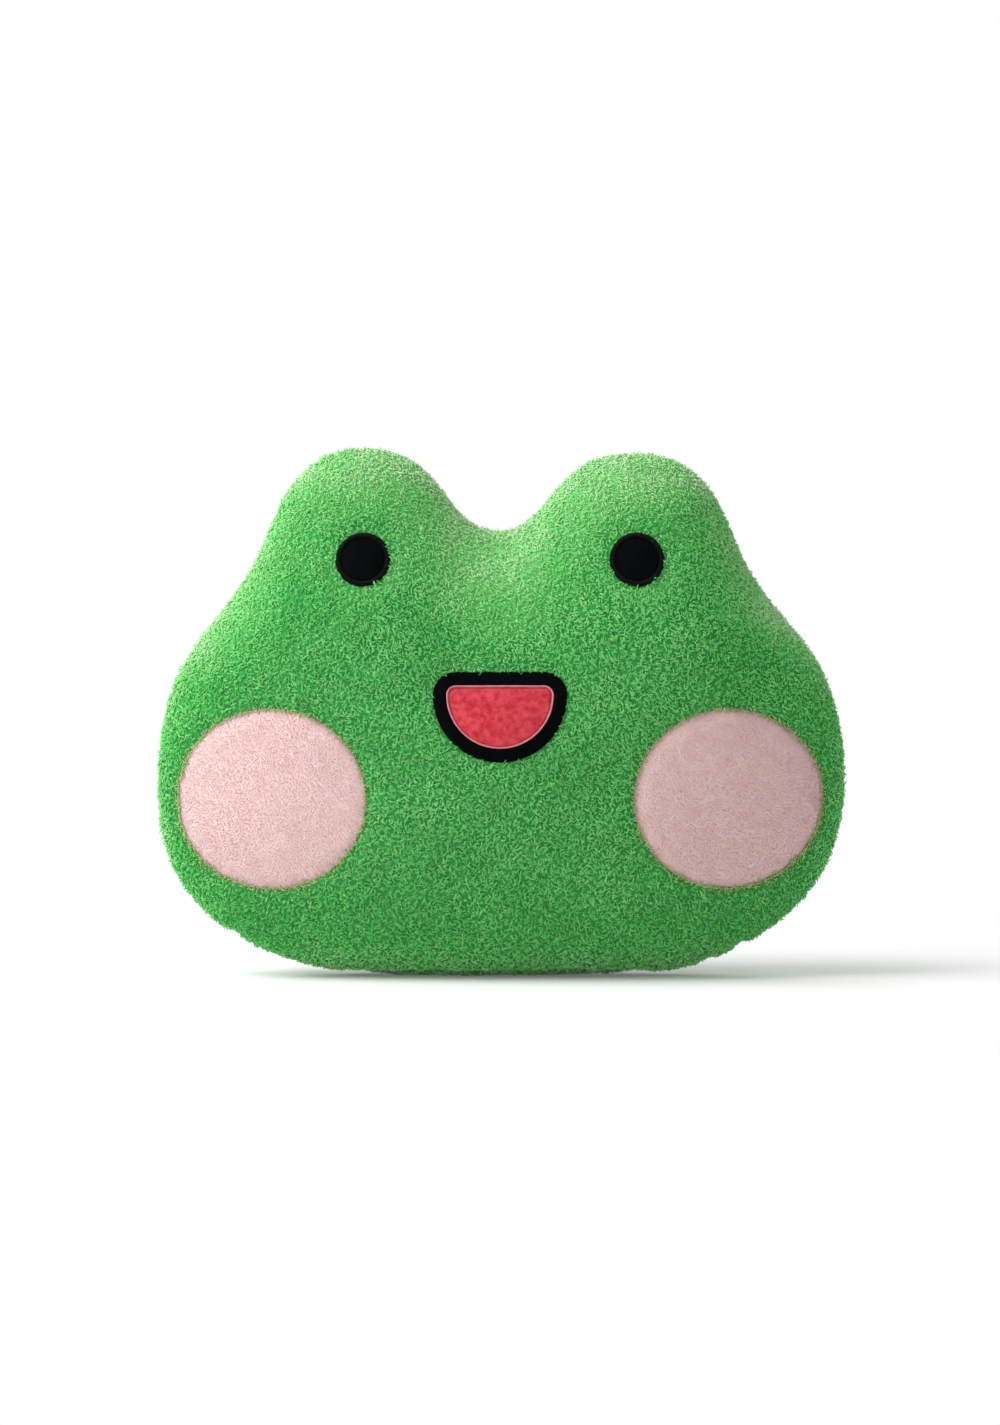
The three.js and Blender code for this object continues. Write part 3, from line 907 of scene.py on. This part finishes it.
def make_green_pile(number, part):
    """The curly pile of the front, the back or the base."""
    on_face = part == "front"
    roots, normals = scattered(*PANELS[part][1:], GREEN_PILE, number)
    if on_face:
        free = mouth_distance(roots) > MOUTH_GROWTH
        for side in SIDES:
            free &= eye_distance(roots, side) > EYE_GAP
        roots, normals = roots[free], normals[free]
    nearest = np.min(list(seam_distances(roots).values()), axis=0)
    top = np.clip(normals[:, 2], 0, TOP_SLOPE)
    tone = clouded(roots, GREEN_PILE["tone"], GREEN_PILE["clouds"])
    # Painted light from above: the pile is paler where it faces up.
    tone += TOP_PAINTED_LIGHT * top**TOP_GROWTH
    # Painted light and sheen: the pile is paler at the sides.
    tone += SIDE_PAINTED_LIGHT * np.maximum(np.abs(normals[:, 0]) - SIDE_SLOPE, 0)
    # Painted light low on the flanks, against the shade near the floor.
    tone += FOOT_PAINTED_LIGHT * bell(roots[:, 2], FOOT_HEIGHT)
    # Painted shade: the pile is darker in the seams' grooves.
    tone -= SEAM_PAINTED_SHADE * bell(nearest, SEAM_TONE_WIDTH)
    # Less painted shade at the roots where the pile faces up.
    contrast = 1 - TOP_SOFTNESS * top
    growth = 1 - SEAM_TRIM * bell(nearest, SEAM_TRIM_WIDTH)
    leans = leaning(roots, on_face)
    plain = np.ones(len(roots), bool)
    if on_face:
        for side in SIDES:
            plain &= ~make_fringe(side, roots, normals, leans)
    pile(f"{part}_pile", roots[plain], normals[plain], GREEN_PILE, number, leans[plain],
         tone[plain], growth[plain], contrast[plain])


def make_cheek_pile(number, side):
    """The short dense pile of one cheek, which leans outwards at its seam."""
    roots, normals = scattered(*PANELS[side][1:], PINK_PILE, number)
    middle, half = CHEEKS[side]
    edge = cheek_distance(roots, side)
    out = np.insert(unit((roots[:, (0, 2)] - middle) / half**2), 1, 0, axis=1)
    bias = out * (EDGE_LEAN * bell(edge, EDGE_LEAN_WIDTH))[:, None] - (0, 0, DROOP)
    tone = clouded(roots, PINK_PILE["tone"], PINK_PILE["clouds"])
    growth = 1 + EDGE_GROWTH * bell(edge, EDGE_GROWTH_WIDTH)
    pile(f"{side}_cheek_pile", roots, normals, PINK_PILE, number, bias, tone, growth)


# Sewn-on pieces

PATCH_LIFT = 1.1 * MM  # of the eyes' and the mouth's cloth over the backing
PATCH_CROWN = 0.5 * MM
BAND_CROWN = 0.9 * MM
FELT_MARGIN = 5 * MM
FELT_LIFT = -SKIN - 0.3 * MM
VELOUR_LEAN = (0, 0, -0.4)
BRUSHED = 11 * MM  # the size of the patches that were brushed
BRUSHED_FINELY = 3 * MM
SATIN_THREAD = 0.45 * MM
SATIN_SCATTER = 0.05 * MM


def oval(middle, reach, count):
    """Points round a circle or an oval, as x and z."""
    return middle + reach * headings(full_turn(count))


def nested(heart, edge, shares):
    """Rings drawn in from an outline to a point within."""
    return [heart + (edge - heart) * share for share in shares]


def ringed(name, rings, lifts, material, node, thickness=PATCH_CLOTH, filled=True):
    """A sewn-on piece of closed rings of x and z, each lifted off the skin."""
    count = len(rings[0])
    places, rises = on_front(np.concatenate(rings))
    points = places + rises * np.repeat(lifts, count)[:, None]
    faces = grid_faces(len(rings), count, (0, 2, 3, 0, 3, 1))
    if filled:
        hub = [(len(points), step, (step + 1) % count) for step in range(count)]
        faces = np.vstack((hub, faces))
        points = np.vstack((points, points[:count].mean(axis=0)))
    if slopes(points, faces)[:, 1].mean() > 0:
        faces = faces[:, ::-1]
    piece(name, points, faces, [material], [node], thickness=thickness)
    return points, faces


def interfacing(name, rings, node):
    """The patch of felt behind a sewn-on piece."""
    lifts = np.full(len(rings), FELT_LIFT)
    ringed(name, rings, lifts, felt, node, FELT)


def velour(name, ground, kind, number=0):
    """Short dense pile on a sewn-on piece, paler where it was brushed."""
    seed, brushing = kind["seed"] + number, kind["brushing"]
    roots, normals = scattered(*ground, kind, number)
    clouds = ((brushing, BRUSHED, seed), (0.8 * brushing, BRUSHED_FINELY, seed + 1))
    pile(name, roots, normals, kind, number, VELOUR_LEAN, clouded(roots, kind["tone"], clouds))


def satin(name, inner, outer, material, node, low, height):
    """Threads side by side from one outline to the other, arched between them."""
    random = np.random.default_rng(SEEDS["satin"] + len(inner))
    share = np.linspace(0, 1, 6)
    flat = inner[:, None] * (1 - share[:, None]) + outer[:, None] * share[:, None]
    flat += random.normal(0, SATIN_SCATTER, flat.shape)
    places, rises = on_front(flat.reshape(-1, 2))
    places = places.reshape(len(inner), -1, 3)
    rises = rises.reshape(len(inner), -1, 3)
    lifts = low + height * np.sin(math.pi * share) ** 0.7
    paths = places + rises * lifts[None, :, None]
    across = unit(np.cross(rises[:, 2], paths[:, -1] - paths[:, 0]))
    threads(name, paths, SATIN_THREAD, 5, across, material, node)


def make_eye(number, side):
    """One eye: a velour disc, its satin border, and the patch behind them."""
    middle, half = EYES[side]
    disc, border = EYE_DISC[side], half[1]
    shares = np.array((0.02, 0.25, 0.5, 0.75, 0.9, 1.0))
    rings = [oval(middle, disc * share, 48) for share in shares]
    ground = ringed(f"{side}_eye", rings, PATCH_LIFT + PATCH_CROWN * (1 - shares**4),
                    black_cloth, f"{side}_eye_disc")
    velour(f"{side}_eye_pile", ground, EYE_PILE, number)
    inner, outer = (oval(middle, reach, 240) for reach in (disc - 0.4 * MM, border))
    satin(f"{side}_eye_stitching", inner, outer, black_satin,
          f"{side}_eye_border", low=PATCH_LIFT - 0.4 * MM, height=1.5 * MM)
    patch = oval(middle, border + FELT_MARGIN, 32)
    interfacing(f"{side}_eye_interfacing", nested(middle, patch, (0.02, 0.5, 1)),
                f"{side}_eye_backing")


def make_mouth():
    """The open mouth: red velour, a pale edge, a black band, and the patch behind."""
    base, ways = mouth_outline(10 * MM, 1.6 * MM)
    shares = np.array((0.02, 0.2, 0.4, 0.6, 0.8, 0.93, 1.0))
    rings = nested(MOUTH_HEART, base + ways * (MOUTH_CORNER + 0.4 * MM), shares)
    ground = ringed("mouth_red", rings, PATCH_LIFT + PATCH_CROWN * (1 - shares**4), red_cloth,
                    "mouth_inner")
    velour("mouth_red_pile", ground, RED_PILE)
    shares = np.array((0, 0.12, 0.35, 0.65, 0.88, 1.0))
    low, high = MOUTH_EDGE_GROWTH, MOUTH_GROWTH
    rings = [base + ways * (low + (high - low) * share) for share in shares]
    lifts = PATCH_LIFT + BAND_CROWN * (1 - (2 * shares - 1) ** 4)
    ground = ringed("mouth_band_cloth", rings, lifts, black_cloth, "mouth_band",
                    filled=False)
    velour("mouth_band_pile", ground, BAND_PILE)
    fine_base, fine_ways = mouth_outline(MOUTH_EDGE_GROWTH, 0.42 * MM)
    inner = fine_base + fine_ways * (MOUTH_EDGE_GROWTH - MOUTH_EDGE_WIDTH / 2)
    outer = fine_base + fine_ways * (MOUTH_EDGE_GROWTH + MOUTH_EDGE_WIDTH / 2)
    satin("mouth_edge_stitching", inner, outer, pink_satin, "mouth_edge_thread",
          low=PATCH_LIFT + 0.1 * MM, height=1.1 * MM)
    patch = base + ways * (MOUTH_GROWTH + FELT_MARGIN)
    interfacing("mouth_interfacing", nested(MOUTH_HEART, patch, (0.02, 0.35, 0.7, 1)),
                "mouth_backing")


# Seams

SEAM_POINTS = 360  # round each seam
STITCH = 4 * MM
STITCH_SHARE = 0.85  # of the pitch that shows
SEAM_THREAD = 0.9 * MM
CHEEK_THREAD = 0.8 * MM
SIDE_SEAM_FOOT = 12 * MM
CLOSING_COUNT = 10
CLOSING_ARCH = 1.6 * MM


def base_seam_points(angles):
    """Points of the base seam before sewing, out from the middle at each angle."""
    ways = np.insert(headings(angles), 2, 0, axis=1)
    return last_inside((0, 0, BASE_LEVEL), ways, base_side)


def running_stitches(name, line, rises, material, node, thread, across):
    """A row of stitches along a closed line, each dipping into the cloth at its ends."""
    closed = np.vstack((line, line[:1]))
    rises = np.vstack((rises, rises[:1]))
    run = np.concatenate(((0,), np.cumsum(np.linalg.norm(np.diff(closed, axis=0), axis=1))))
    count = round(run[-1] / STITCH)
    at = (np.arange(count)[:, None] + np.linspace(0, STITCH_SHARE, 5)) * run[-1] / count
    paths = np.stack([np.interp(at, run, closed[:, axis]) for axis in range(3)], axis=2)
    lift = np.stack([np.interp(at, run, rises[:, axis]) for axis in range(3)], axis=2)
    bow = np.sin(math.pi * np.linspace(0, 1, 5))
    paths += unit(lift) * (thread * (bow - 0.4))[None, :, None]
    threads(name, paths, thread, 6, across, material, node)


def make_seams():
    """The stitches round the side, the base and the cheeks."""
    turns = full_turn(SEAM_POINTS)
    ways = np.insert(headings(turns)[:, ::-1], 1, 0, axis=1)
    line, rises = on_skin(FAN, ways)
    first = int(np.argmax(line[:, 2] <= SIDE_SEAM_FOOT))
    line, rises = np.roll(line, -first, axis=0), np.roll(rises, -first, axis=0)
    standing = line[:, 2] > SIDE_SEAM_FOOT
    running_stitches("side_stitches", line[standing], rises[standing], green_thread,
                     "side_seam_thread", SEAM_THREAD, (0, 1, 0))
    line, rises = on_skin(FAN, unit(base_seam_points(turns) - FAN))
    running_stitches("base_stitches", line, rises, green_thread,
                     "base_seam_thread", SEAM_THREAD, (0, 0, 1))
    for side in SIDES:
        line, rises = on_front(oval(*CHEEKS[side], SEAM_POINTS))
        running_stitches(f"{side}_cheek_stitches", line, rises, pink_thread,
                         f"{side}_cheek_seam_thread", CHEEK_THREAD, (0, 1, 0))


def make_closing():
    """The hand-sewn stitches at the back, slanted across the base seam."""
    low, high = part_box("closing_stitch")
    seam = base_seam_points(np.linspace(0.05, math.pi - 0.05, 400))
    shares = np.linspace(-1, 1, 5)
    slant = np.stack((shares * 1.2 * MM, shares * 4 * MM, np.maximum(shares, 0) * 2.5 * MM), axis=1)
    paths = []
    for x in np.linspace(low.x + 1 * MM, high.x - 1 * MM, CLOSING_COUNT):
        seat = seam[np.argmin(np.abs(seam[:, 0] - x))]
        places, rises = on_skin(FAN, unit(seat + slant - FAN))
        paths.append(places + rises * (CLOSING_ARCH * (1 - shares**2))[:, None])
    threads("closing_stitches", np.array(paths), SEAM_THREAD, 6, (1, 0, 0), green_thread,
            "closing_stitch")


# Care label

LABEL_ROWS = 14
LABEL_COLUMNS = 9
LABEL_SAG = 1.6  # the power with which it falls from the seam
LABEL_WAVE = 0.25 * MM


def make_label():
    """A bare ribbon folded over, with both ends in the seam."""
    low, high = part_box("care_label")
    run = np.linspace(0, 1, LABEL_ROWS)
    reach = high.y - low.y - RIBBON
    drop = (high.z - low.z - 1.2 * MM) * run**LABEL_SAG
    top = np.stack((low.y + reach * run, high.z - RIBBON - drop), axis=1)
    fold = top[-1] + np.array(((0.35 * MM, -0.25 * MM), (0.25 * MM, -0.65 * MM)))
    under = top[::-1] - (0, 0.75 * MM)
    profile = np.vstack((top, fold, under))
    across = np.linspace(low.x, high.x, LABEL_COLUMNS)
    points = np.array([(x, y, z) for y, z in profile for x in across])
    wave = np.sin((points[:, 0] - low.x) / (high.x - low.x) * 4.2)
    points[:, 2] += LABEL_WAVE * wave * (points[:, 1] - low.y) / reach
    faces = grid_faces(len(profile), LABEL_COLUMNS, closed=False)
    piece("label_ribbon", points, faces, [ribbon], ["care_label"],
          thickness=RIBBON, offset=0)


# Studio

PHOTO_SCALE = 0.652 * MM  # of one pixel of the photograph
PHOTO_WIDTH = 1000
PHOTO_HEIGHT = 1425
BASE_ROW = 975
CAMERA_DISTANCE = 2.2
SENSOR = 36
LAMP_AIM = Vector((0, 0, 0.17))
LAMPS = {  # place, size in metres and power in watts
    "key": ((-1.75, -0.65, 2.05), 2.0, 82),
    "left": ((-1.9, -1.5, 0.6), 1.4, 15),
    "front": ((0.2, -2.4, 0.15), 1.4, 11),
    "back": ((-0.9, 2.1, 1.1), 1.2, 26),
}
WORLD_LIGHT = 0.48
WHITE = (1, 1, 1, 1)
FLOOR_HALF = 6.0
SHADOW_REACH = 0.25  # how far out the floor's shadow is whole
SHADOW_END = 0.6  # and where it has faded
FLOOR_GLOW = 0.12  # the share of plain white where the shadow is whole


def make_camera():
    """A camera straight in front, at the photograph's framing."""
    data = bpy.data.cameras.new("camera")
    data.sensor_fit = "HORIZONTAL"
    data.sensor_width = SENSOR
    data.lens = SENSOR * CAMERA_DISTANCE / (PHOTO_WIDTH * PHOTO_SCALE)
    camera = linked("camera", data)
    camera.location = (0, -CAMERA_DISTANCE, (BASE_ROW - PHOTO_HEIGHT / 2) * PHOTO_SCALE)
    camera.rotation_euler = (math.pi / 2, 0, 0)
    bpy.context.scene.camera = camera


def make_lamp(name, place, size, power):
    """A soft square lamp that looks at the middle of the pillow."""
    data = bpy.data.lights.new(name, "AREA")
    data.shape = "SQUARE"
    data.size = size
    data.energy = power
    lamp = linked(name, data)
    lamp.location = place
    lamp.rotation_euler = (LAMP_AIM - Vector(place)).to_track_quat("-Z", "Y").to_euler()


def seen_rays(tree):
    """One for rays that the camera or a mirror sees, nought for light on the object."""
    path = tree.nodes.new("ShaderNodeLightPath")
    total = path.outputs["Is Camera Ray"]
    for output in ("Is Glossy Ray", "Is Transmission Ray"):
        either = add_node(tree, "ShaderNodeMath", operation="MAXIMUM")
        tree.links.new(total, either.inputs[0])
        wire(tree, path, output, either, 1)
        total = either.outputs[0]
    return total


def blend_shaders(tree, share, first, second, output):
    """Sends two shaders to the output, the second by a socket's share."""
    mix = tree.nodes.new("ShaderNodeMixShader")
    tree.links.new(share, mix.inputs[0])
    wire(tree, first, 0, mix, 1)
    wire(tree, second, 0, mix, 2)
    wire(tree, mix, 0, tree.nodes[output], "Surface")


def make_world():
    """Even white light, and plain white where the world is seen."""
    world = bpy.data.worlds.new("world")
    bpy.context.scene.world = world
    world.use_nodes = True
    tree = world.node_tree
    light = tree.nodes["Background"]
    seen = tree.nodes.new("ShaderNodeBackground")
    for node, strength in ((light, WORLD_LIGHT), (seen, 1)):
        node.inputs["Color"].default_value = WHITE
        node.inputs["Strength"].default_value = strength
    blend_shaders(tree, seen_rays(tree), light, seen, "World Output")


def make_floor():
    """A pale floor that keeps the shadow and turns plain white further out."""
    corners = FLOOR_HALF * np.array(((-1, -1, 0), (1, -1, 0), (1, 1, 0), (-1, 1, 0)))
    floor = new_object("floor", corners, [(0, 1, 2, 3)])
    material, surface = shader("floor", (242, 242, 242))
    tree = material.node_tree
    glow = add_node(tree, "ShaderNodeEmission", strength=1)
    place = add_node(tree, "ShaderNodeTexCoord")
    away = add_node(tree, "ShaderNodeVectorMath", operation="LENGTH")
    fade = add_node(
        tree, "ShaderNodeMapRange", from_min=SHADOW_REACH, from_max=SHADOW_END, to_min=FLOOR_GLOW
    )
    amount = add_node(tree, "ShaderNodeMath", operation="MULTIPLY")
    wire(tree, place, "Object", away, 0)
    wire(tree, away, "Value", fade, "Value")
    wire(tree, fade, 0, amount, 0)
    tree.links.new(seen_rays(tree), amount.inputs[1])
    blend_shaders(tree, amount.outputs[0], surface, glow, "Material Output")
    floor.data.materials.append(material)


# Everything, in order

make_shell()
for number, part in enumerate(("front", "back", "base")):
    make_green_pile(number, part)
for number, side in enumerate(SIDES):
    make_cheek_pile(number, side)
for number, side in enumerate(SIDES):
    make_eye(number, side)
make_mouth()
make_seams()
make_closing()
make_label()
make_camera()
for name, settings in LAMPS.items():
    make_lamp(name, *settings)
make_world()
make_floor()
bpy.context.scene.view_settings.view_transform = "Standard"
